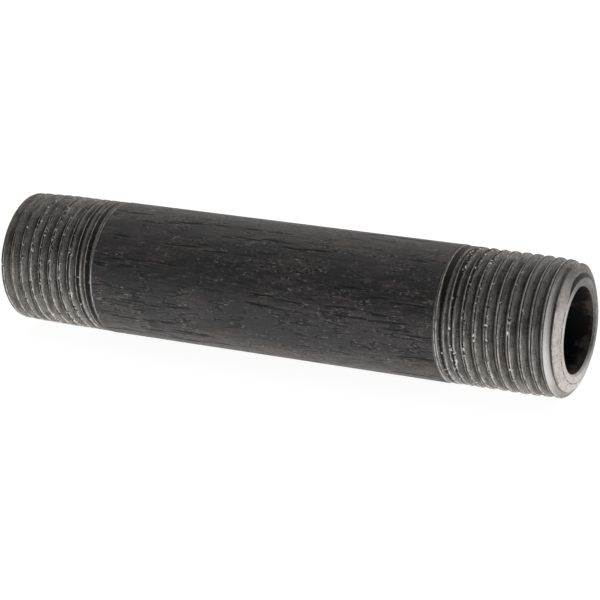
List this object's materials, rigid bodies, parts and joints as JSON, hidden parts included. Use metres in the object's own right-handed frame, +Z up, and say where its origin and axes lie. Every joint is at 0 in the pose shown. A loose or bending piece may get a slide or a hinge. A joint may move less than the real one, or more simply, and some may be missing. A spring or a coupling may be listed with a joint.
{
  "type": "threaded pipe nipple",
  "caption": "Short length of heavy-wall black steel pipe with a right-hand taper pipe thread and a bevelled face on each end, used to join two pipe fittings.",
  "frame": {"origin": "on the pipe's axis at mid-length, which is the centre of its box", "axes": "+X along the pipe's axis towards one threaded end, +Z up with the pipe lying on its side, +Y across"},
  "size_m": [0.0762, 0.0168, 0.0168],
  "materials": {
    "black_steel": "dark mill scale on the barrel, bare cut steel on the threads, bevels and end faces"
  },
  "bodies": {
    "root": {"pipe_nipple": "black_steel"}
  },
  "joints": []
}
